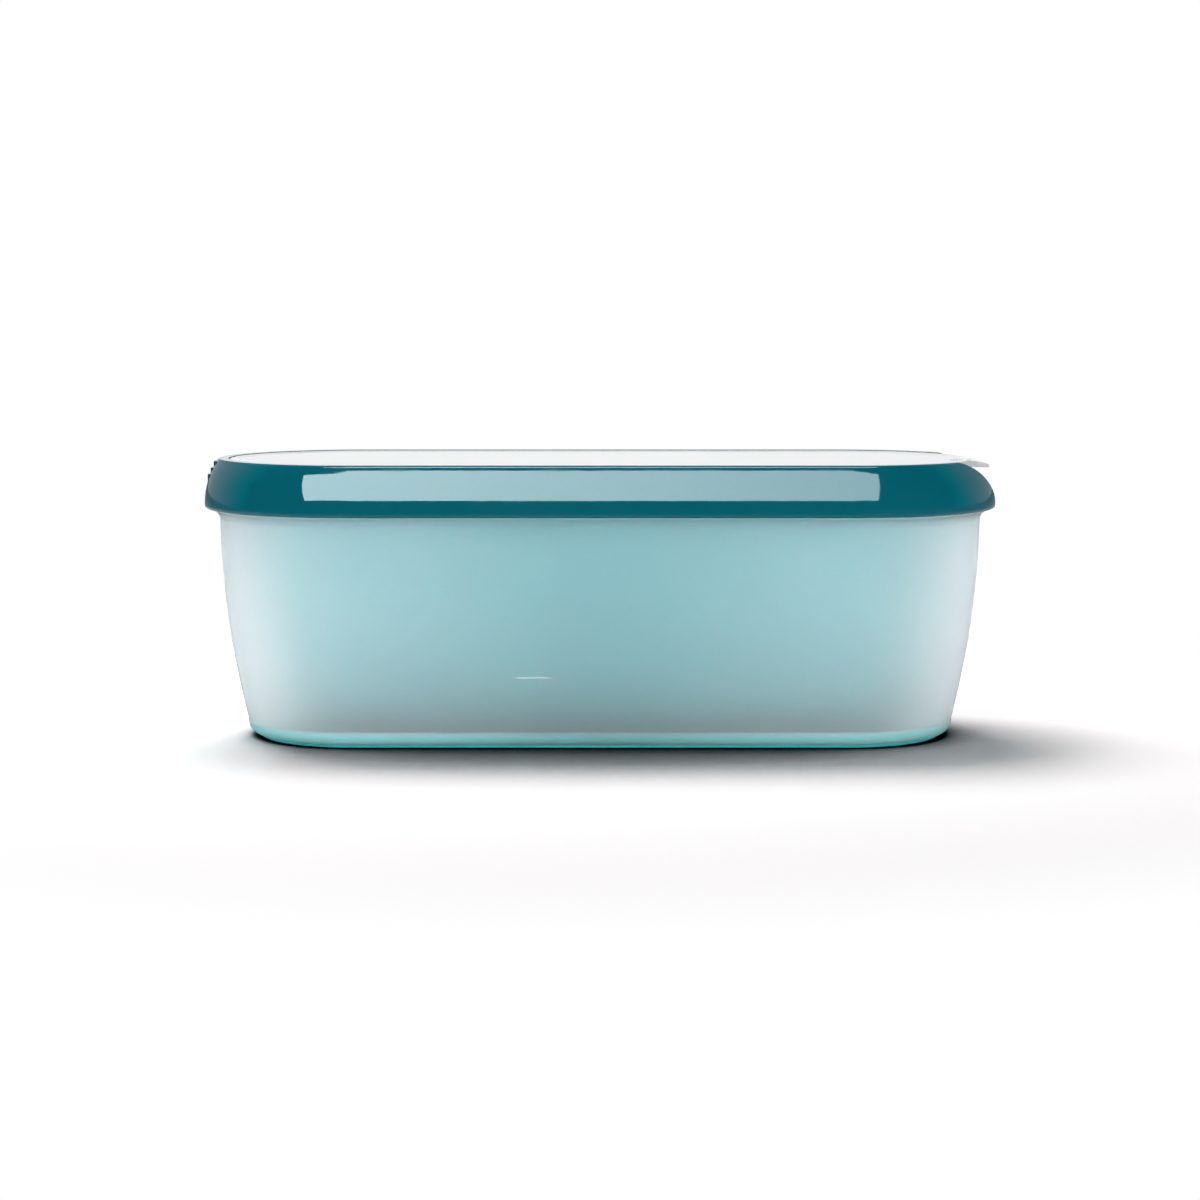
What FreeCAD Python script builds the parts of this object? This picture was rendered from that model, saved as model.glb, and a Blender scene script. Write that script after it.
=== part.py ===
import FreeCAD, Part
import math
import os
import Sketcher

# A double-walled ice cream storage tub, shut with its lid. Every level of it has the same plan, two
# round ends joined by straight sides, so a "reach" below is a distance out from the axis of a round
# end, which is the same distance out from the tub's mid-line along the straight sides.
# The origin is at the middle of the foot's underside, +X is the pull tab's end and +Z is up.

SIZES = {
    # Overall.
    "end_spacing": 174.0,      # between the axes of the two round ends
    "shell_reach": 49.7,       # outside of the shell's wall, at its top
    "shell_height": 81.4,      # underside of the shell to the level where the lid sits
    # Non-slip foot under the shell.
    "foot_thickness": 1.0,
    "foot_inset": 1.1,         # how far the foot stays inside the shell's flat underside
    "foot_edge_round": 0.4,
    # Outer shell.
    "shell_wall": 2.0,
    "wall_taper": 9.2,         # how far the wall leans in from its top to the crisp base line
    "wall_radius": 330.0,      # the wall's slight bulge, seen in section
    "base_line_rise": 5.3,     # crisp base line over the shell's underside
    "base_step": 3.6,          # how far the rounded base draws in under that line
    "base_round": 5.0,
    "floor_step": 1.9,         # how far the inside's round draws in from the wall to the floor
    "flange_overhang": 2.1,    # flange that the lid sits on, beyond the wall
    "flange_depth": 0.8,
    "cove_drop": 3.0,          # height of the hollow curve under the flange
    "cove_radius": 3.6,
    "mouth_rise": 7.6,         # the mouth that stands up inside the lid
    # Inner liner.
    "fit_clearance": 0.3,      # between curved faces that slide into each other
    "lip_thickness": 1.2,      # the liner's lip, hooked over the shell's mouth
    "neck_drop": 1.5,          # straight neck, from the level of the lid's seat down to the shoulder
    "shoulder_drop": 9.0,      # height of the shoulder between the neck and the wall
    "shoulder_radius": 11.7,
    "liner_gap": 11.5,         # air gap between the two walls
    "liner_taper": 8.2,        # how far the liner's wall leans in from its shoulder to its base
    "liner_floor_gap": 2.5,    # air gap under the liner
    "liner_base_rise": 15.0,   # rounded base: its height
    "liner_base_step": 12.0,   # how far it draws in
    "liner_base_round": 16.5,  # and its radius
    # Soft rim of the lid.
    "lid_overhang": 3.35,      # beyond the shell's flange
    "crown_height": 9.0,       # the liner's lip to the lid's flat top
    "rim_lean": 4.8,           # how far the rim's side leans in towards the top
    "lip_round": 1.3,          # bottom edge of the rim
    "crest_step": 0.7,         # top edge of the rim, as far in as down
    "crest_round": 0.9,
    "strip_width": 3.9,        # soft strip left bare on top, round the panel
    "ledge_width": 3.2,        # step in the rim that carries the panel
    # Relief under the pull tab, cut straight across one end of the rim.
    "relief_reach": 17.0,      # how far in from the rim's widest line it starts
    "relief_radius": 23.0,     # the cut surface bulges outwards
    "cut_clearance": 3.0,      # how far a cut's outline runs past the solid
    # Grip steps on the other end.
    "grip_pitch": 2.3,
    "grip_step": 1.1,
    "grip_inset": 1.2,         # lowest step, in from the rim's widest line
    "grip_drop": 1.0,          # top of the highest step, under the lid's flat top
    "grip_round": 0.5,         # top edge of each step
    "grip_root": 2.0,          # how deep the steps are rooted in the rim, over the liner's lip
    "grip_arc": 16.0,          # degrees round the end
    "grip_count": 3,
    # Stiff panel set into the rim.
    "panel_gap": 0.2,
    "panel_thickness": 2.4,
    "border_drop": 0.2,        # border under the rim's flat top
    "border_width": 2.6,
    "border_round": 0.8,
    "field_drop": 0.4,         # field under the border
    # Pull tab, part of the panel.
    "tab_width": 19.0,
    "tab_root": 7.5,           # where it starts to droop, in from the panel's end
    "tab_length": 6.4,         # tip beyond the panel's end
    "tab_top_radius": 46.0,
    "tab_under_start": 1.3,    # where its underside leaves the panel's, in from the panel's end
    "tab_under_radius": 60.0,
    "tab_tip_thickness": 1.1,
    "tab_corner_round": 6.0,
    "tab_edge_round": 0.3,
}


class Length:
    """A size with its value, which places a sketch, and its formula, which binds it to the sheet."""

    def __init__(self, value, formula):
        self.value = value
        self.formula = formula

    def joined(self, other, sign, value):
        return Length(value, f"({self.formula} {sign} {other.formula})")

    def __add__(self, other):
        other = as_length(other)
        return self.joined(other, "+", self.value + other.value)

    def __sub__(self, other):
        other = as_length(other)
        return self.joined(other, "-", self.value - other.value)

    def __mul__(self, other):
        other = as_length(other)
        return self.joined(other, "*", self.value * other.value)

    def __truediv__(self, other):
        other = as_length(other)
        return self.joined(other, "/", self.value / other.value)

    def __neg__(self):
        return Length(-self.value, f"(-{self.formula})")


def as_length(size):
    """A plain number as a Length; a Length as it is."""
    if isinstance(size, Length):
        return size
    return Length(float(size), str(size))


def make_sheet(doc):
    """The driving sizes as a spreadsheet, and each of them as a Length that refers to its cell."""
    sheet = doc.addObject("Spreadsheet::Sheet", "Sizes")
    lengths = {}
    for row, (alias, number) in enumerate(SIZES.items(), start=1):
        sheet.set(f"A{row}", alias)
        sheet.set(f"B{row}", str(number))
        sheet.setAlias(f"B{row}", alias)
        lengths[alias] = Length(float(number), f"Sizes.{alias}")
    return lengths


class Corner:
    """A corner of an outline. With a radius, the side that ends here is an arc of that radius,
    which turns left or right as one walks along it."""

    def __init__(self, across, up, radius=None, turn="left"):
        self.across = as_length(across)
        self.up = as_length(up)
        self.radius = radius
        self.turn = turn

    def point(self):
        return FreeCAD.Vector(self.across.value, self.up.value, 0)


def arc_between(start, end, radius, turn):
    """The short arc from start to end, run anticlockwise as sketches keep their arcs."""
    chord = end - start
    to_centre = math.sqrt(radius ** 2 - (chord.Length / 2) ** 2)
    left = FreeCAD.Vector(-chord.y, chord.x, 0).normalize()
    side = 1 if turn == "left" else -1
    centre = (start + end) * 0.5 + left * (side * to_centre)
    first, last = (start, end) if turn == "left" else (end, start)
    from_angle = math.atan2(first.y - centre.y, first.x - centre.x)
    to_angle = math.atan2(last.y - centre.y, last.x - centre.x)
    circle = Part.Circle(centre, FreeCAD.Vector(0, 0, 1), radius)
    return Part.ArcOfCircle(circle, from_angle, to_angle)


def bind(sketch, constraint, length):
    """Adds a constraint and drives it from the sheet."""
    index = sketch.addConstraint(constraint)
    sketch.setExpression(f"Constraints[{index}]", length.formula)


def hold(sketch, side, end, corner):
    """Fixes one end of a side at its corner, measured from the sketch's origin."""
    for kind, axis, length in (("DistanceX", -2, corner.across), ("DistanceY", -1, corner.up)):
        if length.value == 0:
            sketch.addConstraint(Sketcher.Constraint("PointOnObject", side, end, axis))
        elif length.value > 0:
            bind(sketch, Sketcher.Constraint(kind, -1, 1, side, end, length.value), length)
        else:
            bind(sketch, Sketcher.Constraint(kind, side, end, -1, 1, -length.value), -length)


def draw(sketch, corners):
    """One closed outline through the corners, every corner and radius bound to the sheet."""
    ends = []
    for previous, corner in zip(corners[-1:] + corners[:-1], corners):
        if corner.radius is None:
            side = sketch.addGeometry(Part.LineSegment(previous.point(), corner.point()), False)
            start, end = 1, 2
        else:
            arc = arc_between(previous.point(), corner.point(), corner.radius.value, corner.turn)
            side = sketch.addGeometry(arc, False)
            start, end = (1, 2) if corner.turn == "left" else (2, 1)
            bind(sketch, Sketcher.Constraint("Radius", side, corner.radius.value), corner.radius)
        ends.append((side, start, end))
    for (side, _, end), (following, start, _), corner in zip(ends, ends[1:] + ends[:1], corners):
        sketch.addConstraint(Sketcher.Constraint("Coincident", side, end, following, start))
        hold(sketch, side, end, corner)


def origin_plane(body, role):
    """One of the body's own origin planes."""
    return next(plane for plane in body.Origin.OriginFeatures if plane.Role == role)


def new_sketch(body, name, plane, corners, shift=None):
    """A sketch on one of the body's origin planes, which may be shifted along its first axis."""
    sketch = body.newObject("Sketcher::SketchObject", name)
    sketch.AttachmentSupport = [(origin_plane(body, plane), "")]
    sketch.MapMode = "FlatFace"
    if shift is not None:
        sketch.setExpression(".AttachmentOffset.Base.x", shift.formula)
    draw(sketch, corners)
    return sketch


def new_body(doc, label):
    body = doc.addObject("PartDesign::Body", label)
    body.Label = label
    return body


def mirror(body, name, feature, plane):
    """Mirrors one feature across an origin plane and keeps the result as the body's tip."""
    mirrored = body.newObject("PartDesign::Mirrored", name)
    mirrored.Originals = [feature]
    mirrored.MirrorPlane = (origin_plane(body, plane), [""])
    body.Tip = mirrored
    body.Document.recompute()


def run_round_plan(body, section, end_spacing):
    """Carries a half section round the tub's plan: it is padded along one straight side and turned
    round one end, and both are mirrored."""
    side_sketch = new_sketch(body, "SideSection", "YZ_Plane", section)
    side = body.newObject("PartDesign::Pad", "Side")
    side.Profile = side_sketch
    side.Midplane = True
    side.setExpression("Length", end_spacing.formula)
    end_sketch = new_sketch(body, "EndSection", "XZ_Plane", section, shift=end_spacing / 2)
    end = body.newObject("PartDesign::Revolution", "RoundEnd")
    end.Profile = end_sketch
    end.ReferenceAxis = (end_sketch, ["V_Axis"])
    end.Midplane = True
    end.Angle = 180
    body.Document.recompute()
    mirror(body, "OtherEnd", end, "YZ_Plane")
    mirror(body, "OtherSide", side, "XZ_Plane")


doc = FreeCAD.newDocument("ice_cream_tub")
size = make_sheet(doc)
doc.recompute()

# Levels and reaches that more than one piece shares.
end_spacing = size["end_spacing"]
foot_top = size["foot_thickness"]
base_line_level = foot_top + size["base_line_rise"]
seat_level = foot_top + size["shell_height"]
flange_underside = seat_level - size["flange_depth"]
wall_top = flange_underside - size["cove_drop"]
mouth_level = seat_level + size["mouth_rise"]
lip_level = mouth_level + size["lip_thickness"]
lid_top = lip_level + size["crown_height"]
base_line_reach = size["shell_reach"] - size["wall_taper"]
base_reach = base_line_reach - size["base_step"]
foot_reach = base_reach - size["foot_inset"]
mouth_bore = size["shell_reach"] - size["shell_wall"]
flange_reach = size["shell_reach"] + size["flange_overhang"]
lid_reach = flange_reach + size["lid_overhang"]
crest_reach = lid_reach - size["rim_lean"]
socket_reach = crest_reach - size["strip_width"]
panel_reach = socket_reach - size["panel_gap"]
border_top = lid_top - size["border_drop"]
panel_underside = border_top - size["field_drop"] - size["panel_thickness"]


# Outer shell: one moulded wall of even thickness, with the lid's flange and the mouth above it.
def make_outer_shell(doc):
    body = new_body(doc, "outer_shell")
    wall = size["shell_wall"]
    bulge = size["wall_radius"]
    floor_top = foot_top + wall
    section = [
        Corner(0, foot_top),
        Corner(base_reach, foot_top),
        Corner(base_line_reach, base_line_level, radius=size["base_round"]),
        Corner(size["shell_reach"], wall_top, radius=bulge),
        Corner(flange_reach, flange_underside, radius=size["cove_radius"], turn="right"),
        Corner(flange_reach, seat_level),
        Corner(size["shell_reach"], seat_level),
        Corner(size["shell_reach"], mouth_level),
        Corner(mouth_bore, mouth_level),
        Corner(mouth_bore, wall_top),
        Corner(base_line_reach - wall, base_line_level, radius=bulge - wall, turn="right"),
        Corner(base_line_reach - wall - size["floor_step"], floor_top,
               radius=size["base_round"] - wall, turn="right"),
        Corner(0, floor_top),
    ]
    run_round_plan(body, section, end_spacing)
    return body


# Inner liner: its lip hooks over the mouth, and a shoulder leads to a wall that runs parallel to the
# shell's. The tub is shut, so the liner is one solid with what it holds.
def make_inner_liner(doc):
    body = new_body(doc, "inner_liner")
    inward = size["shell_wall"] + size["liner_gap"]
    neck_reach = mouth_bore - size["fit_clearance"]
    neck_foot = seat_level - size["neck_drop"]
    wall_head = neck_foot - size["shoulder_drop"]
    wall_reach = size["shell_reach"] - inward
    round_reach = wall_reach - size["liner_taper"]
    underside = foot_top + size["shell_wall"] + size["liner_floor_gap"]
    section = [
        Corner(0, underside),
        Corner(round_reach - size["liner_base_step"], underside),
        Corner(round_reach, underside + size["liner_base_rise"], radius=size["liner_base_round"]),
        Corner(wall_reach, wall_head, radius=size["wall_radius"] - inward),
        Corner(neck_reach, neck_foot, radius=size["shoulder_radius"], turn="right"),
        Corner(neck_reach, mouth_level),
        Corner(size["shell_reach"], mouth_level),
        Corner(size["shell_reach"], lip_level),
        Corner(0, lip_level),
    ]
    run_round_plan(body, section, end_spacing)
    return body


# Foot: a thin rubber pad under the shell's flat underside.
def make_foot(doc):
    body = new_body(doc, "foot")
    edge = size["foot_edge_round"]
    section = [
        Corner(0, 0),
        Corner(foot_reach - edge, 0),
        Corner(foot_reach, edge, radius=edge),
        Corner(foot_reach, foot_top),
        Corner(0, foot_top),
    ]
    run_round_plan(body, section, end_spacing)
    return body


# Lid rim: a thick soft ring that sits on the flange, closes over the liner's lip and holds the panel
# on a ledge.
def make_lid_rim(doc):
    body = new_body(doc, "lid_rim")
    lip = size["lip_round"]
    crest = size["crest_step"]
    lean = size["rim_lean"]
    side_rise = lid_top - seat_level - lip - crest
    side_radius = (side_rise * side_rise + lean * lean) / (lean * 2)
    inner_reach = socket_reach - size["ledge_width"]
    mouth_clear = size["shell_reach"] + size["fit_clearance"]
    section = [
        Corner(mouth_clear, seat_level),
        Corner(lid_reach - lip, seat_level),
        Corner(lid_reach, seat_level + lip, radius=lip),
        Corner(crest_reach, lid_top - crest, radius=side_radius),
        Corner(crest_reach - crest, lid_top, radius=size["crest_round"]),
        Corner(socket_reach, lid_top),
        Corner(socket_reach, panel_underside),
        Corner(inner_reach, panel_underside),
        Corner(inner_reach, lip_level),
        Corner(mouth_clear, lip_level),
    ]
    run_round_plan(body, section, end_spacing)
    cut_relief(body)
    add_grip(body)
    return body


# Relief: the end under the tab is cut away straight across, so that a finger gets under the tab.
def cut_relief(body):
    widest = end_spacing / 2 + lid_reach
    widest_level = seat_level + size["lip_round"]
    outside = widest + size["cut_clearance"]
    above = lid_top + size["cut_clearance"]
    outline = [
        Corner(widest - size["relief_reach"], above),
        Corner(widest - size["relief_reach"], lid_top),
        Corner(widest, widest_level, radius=size["relief_radius"], turn="right"),
        Corner(outside, widest_level),
        Corner(outside, above),
    ]
    before = body.Tip.Shape.Volume
    relief = body.newObject("PartDesign::Pocket", "TabRelief")
    relief.Profile = new_sketch(body, "ReliefSection", "XZ_Plane", outline)
    relief.Type = "ThroughAll"
    relief.Midplane = True
    body.Document.recompute()
    if relief.Shape.Volume >= before:
        raise RuntimeError("the relief cuts nothing from the rim")


# Grip: a flight of small steps that a thumb pushes on, turned round the end opposite the tab.
def add_grip(body):
    pitch = size["grip_pitch"]
    reach = lid_reach - size["grip_inset"]
    steps = int(SIZES["grip_count"])
    top = lid_top - size["grip_drop"]
    foot_of_grip = lip_level + size["fit_clearance"]
    hidden_reach = crest_reach - size["grip_root"]
    edge = size["grip_round"]
    outline = [Corner(-hidden_reach, foot_of_grip)]
    for step in range(steps):
        step_reach = reach - size["grip_step"] * step
        step_top = top - pitch * (steps - 1 - step)
        outline.append(Corner(-step_reach, outline[-1].up))
        outline.append(Corner(-step_reach, step_top - edge))
        outline.append(Corner(edge - step_reach, step_top, radius=edge, turn="right"))
    outline.append(Corner(-hidden_reach, top))
    grip = body.newObject("PartDesign::Revolution", "GripSteps")
    sketch = new_sketch(body, "GripSection", "XZ_Plane", outline, shift=-(end_spacing / 2))
    grip.Profile = sketch
    grip.ReferenceAxis = (sketch, ["V_Axis"])
    grip.Midplane = True
    grip.setExpression("Angle", size["grip_arc"].formula)
    body.Document.recompute()


# Lid panel: a stiff plate set into the rim, with a raised border round a lower field, and the pull
# tab that droops over the relief.
def make_lid_panel(doc):
    body = new_body(doc, "lid_panel")
    edge = size["border_round"]
    field_level = border_top - size["field_drop"]
    field_reach = panel_reach - size["border_width"]
    section = [
        Corner(0, panel_underside),
        Corner(panel_reach, panel_underside),
        Corner(panel_reach, border_top - edge),
        Corner(panel_reach - edge, border_top, radius=edge),
        Corner(field_reach, border_top),
        Corner(field_reach - size["field_drop"], field_level),
        Corner(0, field_level),
    ]
    run_round_plan(body, section, end_spacing)
    add_tab(body)
    return body


def add_tab(body):
    """The pull tab: drawn from the side, padded across, then rounded at its corners and edges."""
    panel_end = end_spacing / 2 + panel_reach
    root = panel_end - size["tab_root"]
    tip = panel_end + size["tab_length"]
    radius = size["tab_top_radius"]
    run = size["tab_root"] + size["tab_length"]
    droop = run * run / (radius * 2)
    tip_top = border_top - droop
    tip_underside = tip_top - size["tab_tip_thickness"]
    outline = [
        Corner(root, panel_underside),
        Corner(panel_end - size["tab_under_start"], panel_underside),
        Corner(tip, tip_underside, radius=size["tab_under_radius"], turn="right"),
        Corner(tip, tip_top),
        Corner(root, border_top, radius=radius),
    ]
    tab = body.newObject("PartDesign::Pad", "PullTab")
    tab.Profile = new_sketch(body, "TabSection", "XZ_Plane", outline)
    tab.Midplane = True
    tab.setExpression("Length", size["tab_width"].formula)
    body.Document.recompute()
    round_tab_corners(body, tip)
    round_tab_edges(body, tip)


def round_tab_corners(body, tip):
    """Cuts the tab's outline round at both corners, seen from above."""
    corner = size["tab_corner_round"]
    half_width = size["tab_width"] / 2
    outside = size["cut_clearance"]
    spandrel = [
        Corner(tip - corner, half_width),
        Corner(tip, half_width - corner, radius=corner, turn="right"),
        Corner(tip + outside, half_width - corner),
        Corner(tip + outside, half_width + outside),
        Corner(tip - corner, half_width + outside),
    ]
    before = body.Tip.Shape.Volume
    cut = body.newObject("PartDesign::Pocket", "TabCorner")
    cut.Profile = new_sketch(body, "TabPlan", "XY_Plane", spandrel)
    cut.Type = "ThroughAll"
    cut.Midplane = True
    body.Document.recompute()
    if cut.Shape.Volume >= before:
        raise RuntimeError("the tab's corner is not cut")
    mirror(body, "OtherTabCorner", cut, "XZ_Plane")


def round_tab_edges(body, tip):
    """Rounds the tab's upper and lower edge, from its tip back along both sides."""
    near = 0.01
    sharp = body.Tip
    tip_edges = []
    for number, edge in enumerate(sharp.Shape.Edges, start=1):
        box = edge.BoundBox
        if box.XMin > tip.value - near and box.ZLength < near:
            tip_edges.append(f"Edge{number}")
    fillet = body.newObject("PartDesign::Fillet", "TabEdges")
    fillet.Base = (sharp, tip_edges)
    fillet.setExpression("Radius", size["tab_edge_round"].formula)
    body.Tip = fillet
    body.Document.recompute()


def check_and_export(doc, bodies):
    """Refuses a failed feature or a broken solid, then writes one STEP file for each piece."""
    for item in doc.Objects:
        if "Invalid" in item.State or "Error" in item.State:
            raise RuntimeError(f"{item.Label} failed: {item.State}")
    os.makedirs("parts", exist_ok=True)
    for body in bodies:
        shape = body.Shape
        if shape.isNull() or not shape.isValid() or len(shape.Solids) != 1:
            raise RuntimeError(f"{body.Label} is not one sound solid")
        box = shape.optimalBoundingBox(False)
        print(f"{body.Label}: {shape.Volume / 1000:.1f} cm3, {len(shape.Faces)} faces,",
              f"x {box.XMin:.2f} to {box.XMax:.2f}, y {box.YMin:.2f} to {box.YMax:.2f},",
              f"z {box.ZMin:.2f} to {box.ZMax:.2f}")
        shape.exportStep(f"parts/{body.Label}.step")


pieces = [make_outer_shell(doc), make_inner_liner(doc), make_foot(doc), make_lid_rim(doc),
          make_lid_panel(doc)]
doc.recompute()
check_and_export(doc, pieces)
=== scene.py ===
# %% [markdown]
# # A double-walled ice cream tub, shut with its lid
# The real tub is five mouldings: a frosted outer shell, a coloured liner that keeps the cold in, a
# rubber foot, a soft lid rim and a stiff white panel set into it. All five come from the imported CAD
# model with their true shape, size and place. So nothing is modelled again here. What the model lacks
# is its finish, and light that shows it: a frosted wall only looks frosted when there is something
# dark inside it and something bright around it.

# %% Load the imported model
import math

import bpy
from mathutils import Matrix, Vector

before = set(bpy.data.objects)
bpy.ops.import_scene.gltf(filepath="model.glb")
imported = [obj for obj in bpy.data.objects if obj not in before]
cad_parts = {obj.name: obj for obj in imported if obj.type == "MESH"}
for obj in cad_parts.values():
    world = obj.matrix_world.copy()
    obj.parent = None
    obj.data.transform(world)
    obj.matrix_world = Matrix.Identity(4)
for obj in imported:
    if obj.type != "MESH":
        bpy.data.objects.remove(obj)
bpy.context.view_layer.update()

scene = bpy.context.scene
MM = 0.001

# %% [markdown]
# ## Three helpers
# A Blender material is a small graph of nodes. One function adds a node, sets its values and links its
# inputs, so that every material below reads as a short list. One starts an empty material. The third
# turns the usual hex colour, which is stored for screens, into the linear numbers that a renderer adds
# and multiplies.


# %% Helpers for colours and nodes
def linear(hex_colour):
    """An sRGB colour such as #1a8f98 as linear red, green, blue and alpha."""
    channels = [int(hex_colour[place:place + 2], 16) / 255 for place in (1, 3, 5)]
    return [c / 12.92 if c <= 0.04045 else ((c + 0.055) / 1.055) ** 2.4 for c in channels] + [1.0]


def add_node(tree, kind, values=None, links=None, **settings):
    """Adds a node, sets its properties and input values, and links outputs to its inputs."""
    node = tree.nodes.new(kind)
    for name, value in settings.items():
        setattr(node, name, value)
    for name, value in (values or {}).items():
        node.inputs[name].default_value = value
    for name, output in (links or {}).items():
        tree.links.new(output, node.inputs[name])
    return node


COLOUR_A, COLOUR_B, MIXED = 6, 7, 2     # a Mix node's colour sockets come after its number sockets
WHITE = (1, 1, 1, 1)


def new_material(name):
    """An empty node material and the tree that its nodes go into."""
    material = bpy.data.materials.new(name)
    material.use_nodes = True
    material.node_tree.nodes.clear()
    return material, material.node_tree


print("#808080 is a linear", round(linear("#808080")[0], 3))

# %% [markdown]
# ## Camera
# The tub is seen straight from the front, from a little above its lid. A long lens from about a metre
# away keeps its long sides nearly parallel, as in a catalogue. A short lens close by would swell the
# middle. The camera is tilted down at the tub, so that the lens needs no shift. The Standard view shows
# colours as they are written, with no film look on top.

# %% Camera
CAMERA_DISTANCE = 1.05
CAMERA_HEIGHT = 0.163
AIM_HEIGHT = 0.0484
FOCAL_LENGTH = 87.5        # in mm, as on a real lens

camera_data = bpy.data.cameras.new("catalogue_camera")
camera_data.lens = FOCAL_LENGTH
camera = bpy.data.objects.new("catalogue_camera", camera_data)
scene.collection.objects.link(camera)
camera.location = (0, -CAMERA_DISTANCE, CAMERA_HEIGHT)
sight_line = Vector((0, 0, AIM_HEIGHT)) - camera.location
camera.rotation_euler = sight_line.to_track_quat("-Z", "Y").to_euler()
scene.camera = camera
scene.view_settings.view_transform = "Standard"
print("Camera looks down by", round(math.degrees(math.atan2(-sight_line.z, CAMERA_DISTANCE)), 1), "degrees")

# %% [markdown]
# ## Surroundings
# The studio is a pale sweep behind and around the tub, and a dark room behind the camera. A glossy
# surface shows the difference: the soft rim's front mirrors the dark room, and its round ends mirror
# the pale sweep. The world shader knows what kind of ray asks it for light, so it can give each kind an
# answer of its own. How far back a ray points is the Y of its direction: -1 is straight towards the
# front, and 1 straight towards the back.

# %% World
world = bpy.data.worlds.new("studio")
scene.world = world
world.use_nodes = True
sky = world.node_tree
sky.nodes.clear()
ray = add_node(sky, "ShaderNodeLightPath").outputs
direction = add_node(sky, "ShaderNodeTexCoord").outputs["Generated"]
depth = add_node(sky, "ShaderNodeSeparateXYZ", links={"Vector": direction}).outputs["Y"]
print("World:", world.name)

# %% [markdown]
# A mirrored ray finds the dark room in front and the sweep behind, which is brightest straight behind the
# tub. Towards the front the sweep loses its red. So what the teal rim mirrors there stays teal, where a
# white sweep would turn it grey.

# %% What a mirrored ray finds
ROOM_IN_GLOSS = 0.02
SWEEP_IN_GLOSS = 0.40
HORIZON_BLUR = 0.03                         # how softly the room turns into the sweep
BACKDROP_FROM, BACKDROP_TO = 0.93, 0.995    # straight behind the tub, the sweep rises to full white
WHITE_FROM = 0.6                            # from here to the back the sweep keeps all its red

behind = add_node(sky, "ShaderNodeMapRange", {"From Min": BACKDROP_FROM, "From Max": BACKDROP_TO,
                  "To Min": SWEEP_IN_GLOSS, "To Max": 1.0}, {"Value": depth},
                  interpolation_type="SMOOTHSTEP").outputs[0]
gloss_level = add_node(sky, "ShaderNodeMapRange", {"From Min": -HORIZON_BLUR, "From Max": HORIZON_BLUR,
                       "To Min": ROOM_IN_GLOSS}, {"Value": depth, "To Max": behind}).outputs[0]
redness = add_node(sky, "ShaderNodeMapRange", {"From Min": 0.0, "From Max": WHITE_FROM}, {"Value": depth},
                   interpolation_type="SMOOTHSTEP").outputs[0]
redness = add_node(sky, "ShaderNodeMix", {"A": 1.0}, {"Factor": ray["Is Glossy Ray"], "B": redness},
                   data_type="FLOAT").outputs[0]
tint = add_node(sky, "ShaderNodeCombineXYZ", {"Y": 1.0, "Z": 1.0}, {"X": redness}).outputs[0]
print("Mirrored rays find", ROOM_IN_GLOSS, "in front and", SWEEP_IN_GLOSS, "to 1.0 behind")

# %% [markdown]
# A camera ray finds plain white, and so does a ray that comes straight through the frosted wall. Any
# other ray gathers light for a matt surface, and finds a low, even level that rises a little towards the
# back. A Mix node puts each answer before the next, and the last one wins.

# %% What the other rays find
SKY_FRONT = 0.10
SKY_BACK = 0.20
SKY_TURN = 0.6             # the level changes between this far forwards and this far back
NO_BOUNCE = 0.5            # bounces come in whole numbers, so fewer than this is none

matt_level = add_node(sky, "ShaderNodeMapRange", {"From Min": -SKY_TURN, "From Max": SKY_TURN,
                      "To Min": SKY_FRONT, "To Max": SKY_BACK}, {"Value": depth}).outputs[0]
straight = add_node(sky, "ShaderNodeMath", {1: NO_BOUNCE}, {0: ray["Diffuse Depth"]},
                    operation="LESS_THAN").outputs[0]
through = add_node(sky, "ShaderNodeMath", None, {0: ray["Is Transmission Ray"], 1: straight},
                   operation="MULTIPLY").outputs[0]
seen = add_node(sky, "ShaderNodeMath", None, {0: ray["Is Camera Ray"], 1: through},
                operation="MAXIMUM").outputs[0]
level = add_node(sky, "ShaderNodeMix", None, {"Factor": ray["Is Glossy Ray"], "A": matt_level,
                 "B": gloss_level}, data_type="FLOAT").outputs[0]
level = add_node(sky, "ShaderNodeMix", {"B": 1.0}, {"Factor": seen, "A": level},
                 data_type="FLOAT").outputs[0]
shine = add_node(sky, "ShaderNodeBackground", None, {"Color": tint, "Strength": level})
add_node(sky, "ShaderNodeOutputWorld", None, {"Surface": shine.outputs[0]})
print("Matt surfaces find", SKY_FRONT, "in front and", SKY_BACK, "behind")

# %% [markdown]
# ## Lamps
# A lamp's energy is spread over its face, so a big softbox of the same energy looks dimmer. The helper
# takes the brightness of the face instead, which is what a reflection shows.


# %% A softbox
def add_softbox(name, place, target, width, height, brightness, colour=(1, 1, 1)):
    """A rectangular lamp aimed at a point, whose face has the given brightness."""
    data = bpy.data.lights.new(name, "AREA")
    data.shape = "RECTANGLE"
    data.size = width
    data.size_y = height
    data.energy = brightness * width * height * math.pi
    data.color = colour
    lamp = bpy.data.objects.new(name, data)
    scene.collection.objects.link(lamp)
    lamp.location = place
    lamp.rotation_euler = (Vector(target) - Vector(place)).to_track_quat("-Z", "Y").to_euler()
    print(name, "gives", round(data.energy, 2), "W")
    return lamp


# %% [markdown]
# ## Which lamp lights which piece
# In a studio, flags keep a lamp off the things that it shouldn't light. Blender's light linking does that
# with a group of objects: a lamp that is given a group lights nothing else. So the fills don't wash out
# the shadow on the paper. The softbox that draws the bar on the rim throws no haze on the frosted wall,
# and the spots reach only the shell. This goes further than flags can, and the lamps suit this one view
# of the tub. In another scene the finishes meet other light, and the tub looks different.


# %% Groups for light linking
def light_group(name, pieces):
    """A group of the tub's pieces that a lamp can be limited to."""
    group = bpy.data.collections.new(name)
    for piece in pieces:
        group.objects.link(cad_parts[piece])
    return group


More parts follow.
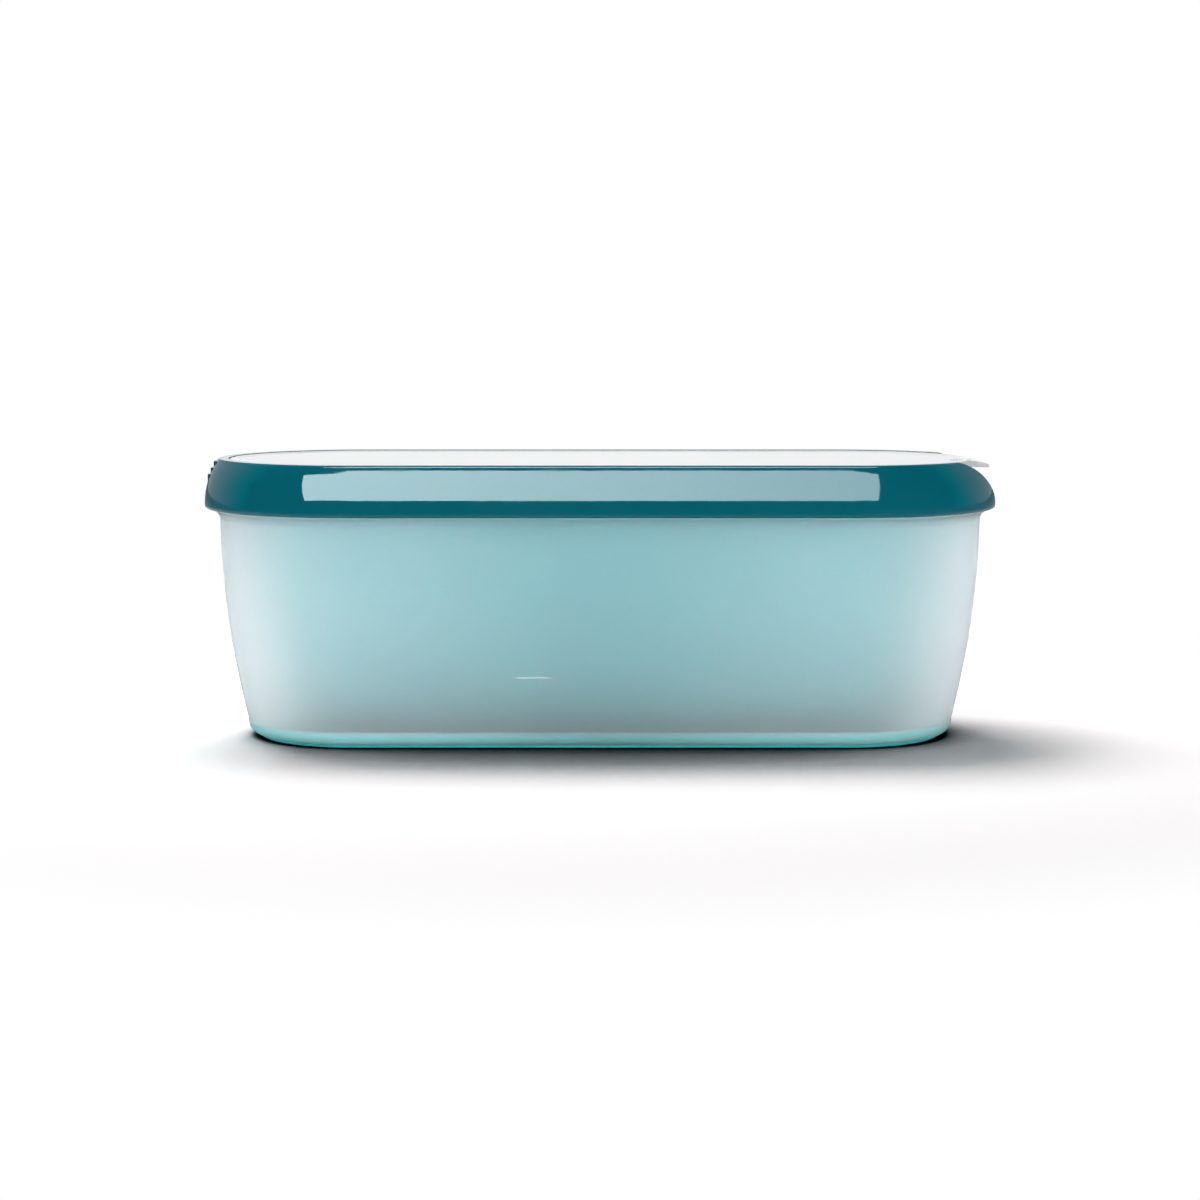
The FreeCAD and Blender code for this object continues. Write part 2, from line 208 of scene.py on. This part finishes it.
WHOLE_TUB = light_group("lit_by_fills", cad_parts)
BODY = light_group("lit_from_below", ("outer_shell", "inner_liner", "foot"))
PANEL_ONLY = light_group("lit_from_above", ("lid_panel",))
RIM_ONLY = light_group("mirrors_strip", ("lid_rim",))
SHELL_ONLY = light_group("lit_by_spots", ("outer_shell",))

# %% [markdown]
# ## The softbox overhead
# It hangs over the tub, a little behind it and to its left. It is the one lamp that also lights the paper,
# so the shadow falls forwards and to the right. Nothing glossy mirrors it.

# %% Overhead softbox
TUB_MIDDLE = (0, 0, 0.05)

over = add_softbox("overhead_softbox", (-0.24, 0.42, 1.15), TUB_MIDDLE, width=0.75, height=0.6,
                   brightness=6.5)
over.visible_transmission = False
over.visible_glossy = False

# %% [markdown]
# ## The softbox that the rim mirrors
# A long softbox in front, high up, shows on the rim as a bright bar with sharp ends. Its face is a little
# brighter on one side, as a softbox with its lamp off centre is. Area lamps have shader nodes too, and
# Parametric tells where on the face a ray comes from, from 0 to 1.

# %% Strip softbox
BAR_TINT = (0.78, 0.98, 1.0)                # a little cool, so that the bar sits well on the teal
FALLOFF_FROM, FALLOFF_TO = 0.5, 0.75        # across the face
BRIGHT_SIDE, DIM_SIDE = 1.28, 0.84

strip = add_softbox("strip_softbox", (-0.21, -1.137, 0.922), (-0.21, 0, 0.36), width=1.74, height=1.067,
                    brightness=9.8, colour=BAR_TINT)
strip.light_linking.receiver_collection = RIM_ONLY
strip.visible_diffuse = False
strip.visible_transmission = False
strip.data.use_nodes = True
tree = strip.data.node_tree
tree.nodes.clear()
across = add_node(tree, "ShaderNodeNewGeometry").outputs["Parametric"]
across = add_node(tree, "ShaderNodeSeparateXYZ", links={"Vector": across}).outputs["X"]
falloff = add_node(tree, "ShaderNodeMapRange", {"From Min": FALLOFF_FROM, "From Max": FALLOFF_TO,
                   "To Min": BRIGHT_SIDE, "To Max": DIM_SIDE}, {"Value": across}).outputs[0]
glow = add_node(tree, "ShaderNodeEmission", {"Color": WHITE}, {"Strength": falloff})
add_node(tree, "ShaderNodeOutputLight", None, {"Surface": glow.outputs[0]})

# %% [markdown]
# ## Fills
# Six fills stand round the tub and open up its shaded sides, and a seventh is for the panel alone, so
# that white plastic looks white. None of them shows in a reflection.

# %% Fills
FILL_WIDTH, FILL_HEIGHT = 1.4, 0.8
FILLS = {
    "front_left_fill": ((-1.3, -0.95, 0.3), 1.35, WHOLE_TUB),
    "front_right_fill": ((1.3, -0.95, 0.3), 1.8, WHOLE_TUB),
    "low_front_fill": ((0, -1.5, 0.06), 3.0, WHOLE_TUB),
    "left_fill": ((-1.5, 0.2, 0.3), 0.45, WHOLE_TUB),
    "right_fill": ((1.5, 0.2, 0.3), 0.55, WHOLE_TUB),
    "back_fill": ((0, 1.5, 0.3), 3.0, WHOLE_TUB),
    "panel_fill": ((0.5, 1.4, 0.5), 3.6, PANEL_ONLY),
}
for name, (place, brightness, lit_pieces) in FILLS.items():
    fill = add_softbox(name, place, TUB_MIDDLE, FILL_WIDTH, FILL_HEIGHT, brightness)
    fill.visible_glossy = False
    fill.light_linking.receiver_collection = lit_pieces

# %% [markdown]
# ## Bounce cards
# Four small cards lie almost flat on the paper, one on each side of the tub, and throw light up at its
# base. They stand in for white cards that bounce light, and make the thin rounded base glow.

# %% Bounce cards
CARD_DEPTH = 0.14
CARD_LIFT = 0.004          # above the paper
CARD_BRIGHTNESS = 2.2
LONG_CARD, SHORT_CARD = 0.40, 0.14
CARDS = {
    "front_card": ((0, -0.22), (0, -0.06), LONG_CARD),
    "back_card": ((0, 0.22), (0, 0.06), LONG_CARD),
    "left_card": ((-0.32, 0), (-0.15, 0), SHORT_CARD),
    "right_card": ((0.32, 0), (0.15, 0), SHORT_CARD),
}
for name, (place, aim, width) in CARDS.items():
    card = add_softbox(name, (*place, CARD_LIFT), (*aim, TUB_MIDDLE[2]), width, CARD_DEPTH, CARD_BRIGHTNESS)
    card.visible_glossy = False
    card.visible_camera = False
    card.light_linking.receiver_collection = BODY

# %% [markdown]
# ## Spots
# Two soft spots in front put a paler patch on the wall near each end. They scatter in the wall only: they
# aren't mirrored, and don't go through it to the liner.

# %% Spots
SPOT_POWERS = {"left_spot": (-1, 105.0), "right_spot": (1, 80.0)}     # side, and power in watts
SPOT_ANGLE = math.radians(6.0)
SPOT_RADIUS = 0.05
SOFTEST_EDGE = 1.0
SPOT_ACROSS, SPOT_BACK, SPOT_UP = 0.40, -1.2, 0.3
PATCH_ACROSS, PATCH_BACK, PATCH_UP = 0.095, -0.045, 0.045

for name, (side, power) in SPOT_POWERS.items():
    data = bpy.data.lights.new(name, "SPOT")
    data.energy = power
    data.spot_size = SPOT_ANGLE
    data.spot_blend = SOFTEST_EDGE
    data.shadow_soft_size = SPOT_RADIUS
    spot = bpy.data.objects.new(name, data)
    scene.collection.objects.link(spot)
    spot.location = (side * SPOT_ACROSS, SPOT_BACK, SPOT_UP)
    patch = Vector((side * PATCH_ACROSS, PATCH_BACK, PATCH_UP))
    spot.rotation_euler = (patch - spot.location).to_track_quat("-Z", "Y").to_euler()
    spot.light_linking.receiver_collection = SHELL_ONLY
    spot.visible_glossy = False
    spot.visible_transmission = False
    print(name, "gives", power, "W")

# %% [markdown]
# ## Floor
# A sweep of white paper, so wide that its edge is never in view. It lies a hair under the foot, so that
# the two faces don't flicker through each other.

# %% Floor
FLOOR_SIDE = 60.0
FLOOR_DROP = 0.05 * MM

half = FLOOR_SIDE / 2
floor_mesh = bpy.data.meshes.new("paper_floor")
floor_mesh.from_pydata([(-half, -half, 0), (half, -half, 0), (half, half, 0), (-half, half, 0)], [],
                       [(0, 1, 2, 3)])
floor = bpy.data.objects.new("paper_floor", floor_mesh)
scene.collection.objects.link(floor)
floor.location.z = -FLOOR_DROP
print("Floor:", FLOOR_SIDE, "m wide")

# %% [markdown]
# ## White paper: how deep the shade is
# The shade near the tub is drawn with ambient occlusion: each point of the paper looks round within a
# short reach, mostly towards the softbox, and sees how much of that is open. Where the tub's left end
# hides the light, a little is added. The tub also throws teal light on the paper. The paper is
# drawn a little warm where the shade is deep, which makes that light neutral again.

# %% Shade on the paper
SHADE_REACH = 0.12
TOWARDS_SOFTBOX = Vector((-0.75, 0.5, 0.5)).normalized()
LEFT_END_FROM, LEFT_END_TO = -0.145, -0.105
LEFT_END_LIFT = 0.3
OPEN_BLACK, OPEN_FULL = 0.36, 0.82          # how open a point is where it turns black, or fully bright
PAPER_BRIGHT = 1.75                         # over 1, so that open paper clips to white under these lamps
DEEP_SHADE, NO_SHADE = 0.4, 0.95
DEEP_WARMTH, OPEN_WARMTH = 0.81, 0.97       # green and blue, as a share of red
SHADE_SAMPLES = 16

paper, tree = new_material("white_paper")
ray = add_node(tree, "ShaderNodeLightPath").outputs
open_sky = add_node(tree, "ShaderNodeAmbientOcclusion", {"Distance": SHADE_REACH, "Normal": TOWARDS_SOFTBOX},
                    samples=SHADE_SAMPLES).outputs["AO"]
place = add_node(tree, "ShaderNodeNewGeometry").outputs["Position"]
across = add_node(tree, "ShaderNodeSeparateXYZ", links={"Vector": place}).outputs["X"]
lift = add_node(tree, "ShaderNodeMapRange", {"From Min": LEFT_END_FROM, "From Max": LEFT_END_TO,
                "To Min": LEFT_END_LIFT, "To Max": 0.0}, {"Value": across}).outputs[0]
open_sky = add_node(tree, "ShaderNodeMath", None, {0: open_sky, 1: lift}, operation="ADD").outputs[0]
shade = add_node(tree, "ShaderNodeMapRange", {"From Min": OPEN_BLACK, "From Max": OPEN_FULL, "To Min": 0.0,
                 "To Max": PAPER_BRIGHT}, {"Value": open_sky}, interpolation_type="SMOOTHSTEP").outputs[0]
warmth = add_node(tree, "ShaderNodeMapRange", {"From Min": DEEP_SHADE, "From Max": NO_SHADE,
                  "To Min": DEEP_WARMTH, "To Max": OPEN_WARMTH}, {"Value": open_sky}).outputs[0]
cool = add_node(tree, "ShaderNodeMath", None, {0: shade, 1: warmth}, operation="MULTIPLY").outputs[0]
paper_tone = add_node(tree, "ShaderNodeCombineXYZ", None, {"X": shade, "Y": cool, "Z": cool}).outputs[0]
print("Paper: shade reaches", round(SHADE_REACH / MM), "mm")

# %% [markdown]
# ## White paper: who sees what
# The camera, and rays that come through the frosted wall, see that shaded paper. Away from the tub it
# fades into plain white, so that paper and background are one. Every other ray, mirrored ones among them,
# finds ordinary white paper, which bounces an ordinary amount of light.

# %% Paper's shader
FADE_FROM, FADE_TO = 0.22, 0.34             # from the middle of the tub

as_lit = add_node(tree, "ShaderNodeBsdfDiffuse", {"Color": linear("#e7e7e7")})
as_seen = add_node(tree, "ShaderNodeBsdfDiffuse", None, {"Color": paper_tone})
white = add_node(tree, "ShaderNodeEmission", {"Color": WHITE, "Strength": 1.0})
away = add_node(tree, "ShaderNodeVectorMath", None, {0: place}, operation="LENGTH").outputs["Value"]
fade = add_node(tree, "ShaderNodeMapRange", {"From Min": FADE_FROM, "From Max": FADE_TO}, {"Value": away},
                interpolation_type="SMOOTHSTEP").outputs[0]
as_seen = add_node(tree, "ShaderNodeMixShader", None, {0: fade, 1: as_seen.outputs[0], 2: white.outputs[0]})
seen = add_node(tree, "ShaderNodeMath", None, {0: ray["Is Camera Ray"], 1: ray["Is Transmission Ray"]},
                operation="MAXIMUM").outputs[0]
choice = add_node(tree, "ShaderNodeMixShader", None, {0: seen, 1: as_lit.outputs[0], 2: as_seen.outputs[0]})
add_node(tree, "ShaderNodeOutputMaterial", None, {"Surface": choice.outputs[0]})
floor_mesh.materials.append(paper)
print("Paper: plain white from", round(FADE_TO / MM), "mm on")

# %% [markdown]
# ## Frosted polypropylene: the outer shell
# The shell is moulded in translucent polypropylene, in a mould with a spark-eroded, matt face. Light goes
# through the wall but is scattered on its way, so the liner behind it shows as a soft shape without an
# edge. Glass with a very rough surface does the same, and an eighth of plain white scatter gives the milky
# veil. The grain is what the eye reads as frost, with a slow cloudiness under it, where the plastic filled
# the mould unevenly.

# %% Frost and cloud
FROST_GRAIN = 0.6 * MM     # the real grain is about 0.05 mm, too fine to show
WALL_CLOUD = 24 * MM
NOISE_SPAN = {"From Min": 0.3, "From Max": 0.7}     # most of a noise texture lies between these
GRAIN_DARK = 0.96
POLYPROPYLENE_IOR = 1.49

shell_finish, tree = new_material("frosted_polypropylene")
place = add_node(tree, "ShaderNodeTexCoord").outputs["Object"]
frost = add_node(tree, "ShaderNodeTexNoise", {"Scale": 1 / FROST_GRAIN, "Detail": 2.0, "Roughness": 0.6},
                 {"Vector": place}).outputs["Fac"]
cloud = add_node(tree, "ShaderNodeTexNoise", {"Scale": 1 / WALL_CLOUD, "Detail": 2.0},
                 {"Vector": place}).outputs["Fac"]
tone = add_node(tree, "ShaderNodeMix", {COLOUR_A: linear("#f9f7fb"), COLOUR_B: linear("#f7fbfa")},
                {"Factor": cloud}, data_type="RGBA").outputs[MIXED]
grain_tone = add_node(tree, "ShaderNodeMapRange", {**NOISE_SPAN, "To Min": GRAIN_DARK, "To Max": 1.0},
                      {"Value": frost}).outputs[0]
tone = add_node(tree, "ShaderNodeVectorMath", None, {0: tone, 1: grain_tone}, operation="MULTIPLY").outputs[0]
print("Shell: frost drawn at", round(FROST_GRAIN / MM, 2), "mm")

# %% [markdown]
# Light from the teal foot runs along inside the thin rounded base. Here that light is painted: the base takes
# a teal tint below a soft line.

# %% Teal base, painted light from the foot
FOOT_LIGHT_FROM, FOOT_LIGHT_TO = 4.5 * MM, 6.5 * MM

height = add_node(tree, "ShaderNodeSeparateXYZ", links={"Vector": place}).outputs["Z"]
foot_light_band = add_node(tree, "ShaderNodeMapRange", {"From Min": FOOT_LIGHT_FROM, "From Max": FOOT_LIGHT_TO, "To Min": 1.0,
                 "To Max": 0.0}, {"Value": height}, interpolation_type="SMOOTHSTEP").outputs[0]
# The teal below the soft line is painted light from the foot, not a colour of the shell.
tone = add_node(tree, "ShaderNodeMix", {COLOUR_B: linear("#a5e2e5")}, {"Factor": foot_light_band, COLOUR_A: tone},
                data_type="RGBA").outputs[MIXED]
print("Shell: teal up to", round(FOOT_LIGHT_TO / MM, 1), "mm")

# %% [markdown]
# Such a tub soon has a fine scratch, which scatters more light than the wall round it. The scratch is a
# very flat ellipsoid in space: wherever the wall passes through it, less light goes through and more is
# scattered. Subtract its centre, divide by its reach, and the length of what is left is 0 in the middle
# and 1 at its surface.

# %% Scratch
SCRATCH_PLACE = Vector((-23.5, -46.5, 26.0)) * MM
SCRATCH_REACH = Vector((10.5, 12.0, 0.28)) * MM
SCRATCH_CORE = 0.5         # inside this share of its reach the scratch is at its whitest
CLEAR_WALL, CLEAR_SCRATCH, CLEAR_BASE = 0.88, 0.48, 0.55     # share of light that isn't plainly scattered

offset = add_node(tree, "ShaderNodeVectorMath", {1: SCRATCH_PLACE}, {0: place},
                  operation="SUBTRACT").outputs[0]
offset = add_node(tree, "ShaderNodeVectorMath", {1: SCRATCH_REACH}, {0: offset},
                  operation="DIVIDE").outputs[0]
offset = add_node(tree, "ShaderNodeVectorMath", None, {0: offset}, operation="LENGTH").outputs["Value"]
clarity = add_node(tree, "ShaderNodeMapRange", {"From Min": SCRATCH_CORE, "From Max": 1.0,
                   "To Min": CLEAR_SCRATCH, "To Max": CLEAR_WALL}, {"Value": offset}).outputs[0]
clarity = add_node(tree, "ShaderNodeMix", {"B": CLEAR_BASE}, {"Factor": foot_light_band, "A": clarity},
                   data_type="FLOAT").outputs[0]
print("Shell: scratch", round(2 * SCRATCH_REACH.x / MM), "mm long")

# %% Shell's shader
ROUGH_LOW, ROUGH_HIGH = 0.67, 0.73          # as rough as ground glass
FROST_HEIGHT = 0.05 * MM
FROST_STRENGTH = 0.35

roughness = add_node(tree, "ShaderNodeMapRange", {**NOISE_SPAN, "To Min": ROUGH_LOW, "To Max": ROUGH_HIGH},
                     {"Value": cloud}).outputs[0]
bump = add_node(tree, "ShaderNodeBump", {"Strength": FROST_STRENGTH, "Distance": FROST_HEIGHT},
                {"Height": frost}).outputs[0]
shader = add_node(tree, "ShaderNodeBsdfPrincipled", {"IOR": POLYPROPYLENE_IOR},
                  {"Base Color": tone, "Roughness": roughness, "Transmission Weight": clarity,
                   "Normal": bump})
add_node(tree, "ShaderNodeOutputMaterial", None, {"Surface": shader.outputs[0]})
print("Shell:", shell_finish.name)

# %% [markdown]
# ## Satin polypropylene: the liner
# The liner is moulded in solid-coloured polypropylene. Only the shell's frost is ever in front of it, so it
# needs no fine finish, but its lip shows when the lid is off. Plastic that flows up a tall wall leaves
# faint upright streaks, which are a noise stretched along the height. A satin face shows light as a broad
# soft sheen.

# %% Liner
SATIN_GRAIN = 0.8 * MM
SATIN_HEIGHT = 0.03 * MM
SATIN_STRENGTH = 0.2
SATIN_LOW, SATIN_HIGH = 0.34, 0.46          # roughness
STREAK_WIDTH, STREAK_LENGTH = 3 * MM, 40 * MM

liner_finish, tree = new_material("satin_polypropylene")
place = add_node(tree, "ShaderNodeTexCoord").outputs["Object"]
satin = add_node(tree, "ShaderNodeTexNoise", {"Scale": 1 / SATIN_GRAIN, "Detail": 2.0},
                 {"Vector": place}).outputs["Fac"]
along = add_node(tree, "ShaderNodeVectorMath", {1: (1 / STREAK_WIDTH, 1 / STREAK_WIDTH, 1 / STREAK_LENGTH)},
                 {0: place}, operation="MULTIPLY").outputs[0]
streak = add_node(tree, "ShaderNodeTexNoise", {"Scale": 1.0, "Detail": 1.0}, {"Vector": along}).outputs["Fac"]
tone = add_node(tree, "ShaderNodeMix", {COLOUR_A: linear("#10afb8"), COLOUR_B: linear("#16b8c0")},
                {"Factor": streak}, data_type="RGBA").outputs[MIXED]
roughness = add_node(tree, "ShaderNodeMapRange", {"To Min": SATIN_LOW, "To Max": SATIN_HIGH},
                     {"Value": satin}).outputs[0]
bump = add_node(tree, "ShaderNodeBump", {"Strength": SATIN_STRENGTH, "Distance": SATIN_HEIGHT},
                {"Height": satin}).outputs[0]
shader = add_node(tree, "ShaderNodeBsdfPrincipled", {"IOR": POLYPROPYLENE_IOR},
                  {"Base Color": tone, "Roughness": roughness, "Normal": bump})
add_node(tree, "ShaderNodeOutputMaterial", None, {"Surface": shader.outputs[0]})
print("Liner: streaks", round(STREAK_WIDTH / MM), "by", round(STREAK_LENGTH / MM), "mm")

# %% [markdown]
# ## Matt thermoplastic rubber: the foot
# The foot keeps the tub from sliding. Rubber of this kind is moulded against a sandblasted face. It is
# matt, with a fine speckle where the grain's tops are rubbed a little smoother than the rest.

# %% Foot
RUBBER_GRAIN = 0.5 * MM
GRAIN_HEIGHT = 0.05 * MM
GRAIN_STRENGTH = 0.4
MATT, RUBBED = 0.70, 0.52                   # roughness
RUBBER_IOR = 1.5

foot_finish, tree = new_material("matt_rubber")
place = add_node(tree, "ShaderNodeTexCoord").outputs["Object"]
speckle = add_node(tree, "ShaderNodeTexNoise", {"Scale": 1 / RUBBER_GRAIN, "Detail": 3.0, "Roughness": 0.7},
                   {"Vector": place}).outputs["Fac"]
tone = add_node(tree, "ShaderNodeMix", {COLOUR_A: linear("#0fb0b6"), COLOUR_B: linear("#1cc6c8")},
                {"Factor": speckle}, data_type="RGBA").outputs[MIXED]
roughness = add_node(tree, "ShaderNodeMapRange", {"To Min": MATT, "To Max": RUBBED},
                     {"Value": speckle}).outputs[0]
bump = add_node(tree, "ShaderNodeBump", {"Strength": GRAIN_STRENGTH, "Distance": GRAIN_HEIGHT},
                {"Height": speckle}).outputs[0]
shader = add_node(tree, "ShaderNodeBsdfPrincipled", {"IOR": RUBBER_IOR},
                  {"Base Color": tone, "Roughness": roughness, "Normal": bump})
add_node(tree, "ShaderNodeOutputMaterial", None, {"Surface": shader.outputs[0]})
print("Foot: grain drawn at", round(RUBBER_GRAIN / MM, 2), "mm")

# %% [markdown]
# ## Polished thermoplastic elastomer: the lid's rim
# The rim is a soft elastomer, moulded against a polished face so that it wipes clean. It shines like
# lacquer, and mirrors the softbox as a sharp bright bar. A soft plastic never copies its mould quite flat.
# Long low waves, the orange peel of the trade, bend that bar's edges a little. Touch leaves broad patches
# that are slightly duller, and fine dust clings to it.

# %% Lid rim
PEEL_WAVE = 9 * MM
TOUCH_PATCH = 16 * MM
DUST_SPECK = 0.7 * MM      # real dust is finer, and is drawn this coarse to show
PEEL_HEIGHT = 0.04 * MM
PEEL_STRENGTH = 0.5
TOUCH_FROM, TOUCH_TO = 0.35, 0.75           # the part of the noise that turns into a patch
POLISHED, TOUCHED = 0.03, 0.09              # roughness
ELASTOMER_IOR = 1.5

rim_finish, tree = new_material("polished_elastomer")
place = add_node(tree, "ShaderNodeTexCoord").outputs["Object"]
peel = add_node(tree, "ShaderNodeTexNoise", {"Scale": 1 / PEEL_WAVE, "Detail": 1.0},
                {"Vector": place}).outputs["Fac"]
touch = add_node(tree, "ShaderNodeTexNoise", {"Scale": 1 / TOUCH_PATCH, "Detail": 3.0},
                 {"Vector": place}).outputs["Fac"]
dust = add_node(tree, "ShaderNodeTexNoise", {"Scale": 1 / DUST_SPECK, "Detail": 2.0, "Roughness": 0.7},
                {"Vector": place}).outputs["Fac"]
tone = add_node(tree, "ShaderNodeMix", {COLOUR_A: linear("#076b7c"), COLOUR_B: linear("#097486")},
                {"Factor": dust}, data_type="RGBA").outputs[MIXED]
roughness = add_node(tree, "ShaderNodeMapRange", {"From Min": TOUCH_FROM, "From Max": TOUCH_TO,
                     "To Min": POLISHED, "To Max": TOUCHED}, {"Value": touch}).outputs[0]
bump = add_node(tree, "ShaderNodeBump", {"Strength": PEEL_STRENGTH, "Distance": PEEL_HEIGHT},
                {"Height": peel}).outputs[0]
shader = add_node(tree, "ShaderNodeBsdfPrincipled", {"IOR": ELASTOMER_IOR},
                  {"Base Color": tone, "Roughness": roughness, "Normal": bump})
add_node(tree, "ShaderNodeOutputMaterial", None, {"Surface": shader.outputs[0]})
print("Rim: waves", round(PEEL_WAVE / MM), "mm long")

# %% [markdown]
# ## White polypropylene: the lid's panel
# The panel is moulded in white polypropylene. Its border is polished and its field has a fine matt grain,
# which hides the marks of stacking. The two differ in roughness more than in colour. Which one a point is
# on comes from its distance to the line between the centres of the two round ends.

# %% Border and field of the panel
AXIS_HALF = 87 * MM        # from the middle to the axis of a round end
FIELD_REACH = 43.2 * MM    # the field's edge from that axis
FIELD_EDGE = 0.5 * MM      # how softly one turns into the other

panel_finish, tree = new_material("white_polypropylene")
place = add_node(tree, "ShaderNodeTexCoord").outputs["Object"]
part = add_node(tree, "ShaderNodeSeparateXYZ", links={"Vector": place}).outputs
beyond = add_node(tree, "ShaderNodeMath", None, {0: part["X"]}, operation="ABSOLUTE").outputs[0]
beyond = add_node(tree, "ShaderNodeMath", {1: AXIS_HALF}, {0: beyond}, operation="SUBTRACT").outputs[0]
beyond = add_node(tree, "ShaderNodeMath", {1: 0.0}, {0: beyond}, operation="MAXIMUM").outputs[0]
reach = add_node(tree, "ShaderNodeCombineXYZ", links={"X": beyond, "Y": part["Y"]}).outputs[0]
reach = add_node(tree, "ShaderNodeVectorMath", None, {0: reach}, operation="LENGTH").outputs["Value"]
on_field = add_node(tree, "ShaderNodeMapRange", {"From Min": FIELD_REACH,
                    "From Max": FIELD_REACH + FIELD_EDGE, "To Min": 1.0, "To Max": 0.0},
                    {"Value": reach}).outputs[0]
print("Panel: field reaches", round(FIELD_REACH / MM, 1), "mm from the axes")

# %% Panel's shader
PANEL_GRAIN = 0.5 * MM     # the real grain is about 0.1 mm, too fine to show
PANEL_CLOUD = 30 * MM
BORDER_ROUGHNESS, FIELD_ROUGHNESS = 0.22, 0.42
FIELD_HEIGHT = 0.04 * MM
FIELD_STRENGTH = 0.25

grain = add_node(tree, "ShaderNodeTexNoise", {"Scale": 1 / PANEL_GRAIN, "Detail": 2.0},
                 {"Vector": place}).outputs["Fac"]
cloud = add_node(tree, "ShaderNodeTexNoise", {"Scale": 1 / PANEL_CLOUD, "Detail": 2.0},
                 {"Vector": place}).outputs["Fac"]
tone = add_node(tree, "ShaderNodeMix", {COLOUR_A: linear("#f4f4f5"), COLOUR_B: linear("#f8f8f7")},
                {"Factor": cloud}, data_type="RGBA").outputs[MIXED]
roughness = add_node(tree, "ShaderNodeMapRange", {"To Min": BORDER_ROUGHNESS, "To Max": FIELD_ROUGHNESS},
                     {"Value": on_field}).outputs[0]
depth = add_node(tree, "ShaderNodeMath", {1: FIELD_STRENGTH}, {0: on_field}, operation="MULTIPLY").outputs[0]
bump = add_node(tree, "ShaderNodeBump", {"Distance": FIELD_HEIGHT},
                {"Strength": depth, "Height": grain}).outputs[0]
shader = add_node(tree, "ShaderNodeBsdfPrincipled", {"IOR": POLYPROPYLENE_IOR},
                  {"Base Color": tone, "Roughness": roughness, "Normal": bump})
add_node(tree, "ShaderNodeOutputMaterial", None, {"Surface": shader.outputs[0]})
print("Panel: grain drawn at", round(PANEL_GRAIN / MM, 2), "mm")

# %% [markdown]
# ## Finishes onto the pieces
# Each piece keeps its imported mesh, and only its material slot changes.

# %% Assign the finishes
FINISHES = {"outer_shell": shell_finish, "inner_liner": liner_finish, "foot": foot_finish,
            "lid_rim": rim_finish, "lid_panel": panel_finish}
for name, finish in FINISHES.items():
    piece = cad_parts[name]
    piece.data.materials.clear()
    piece.data.materials.append(finish)
    print(name, "is", finish.name)
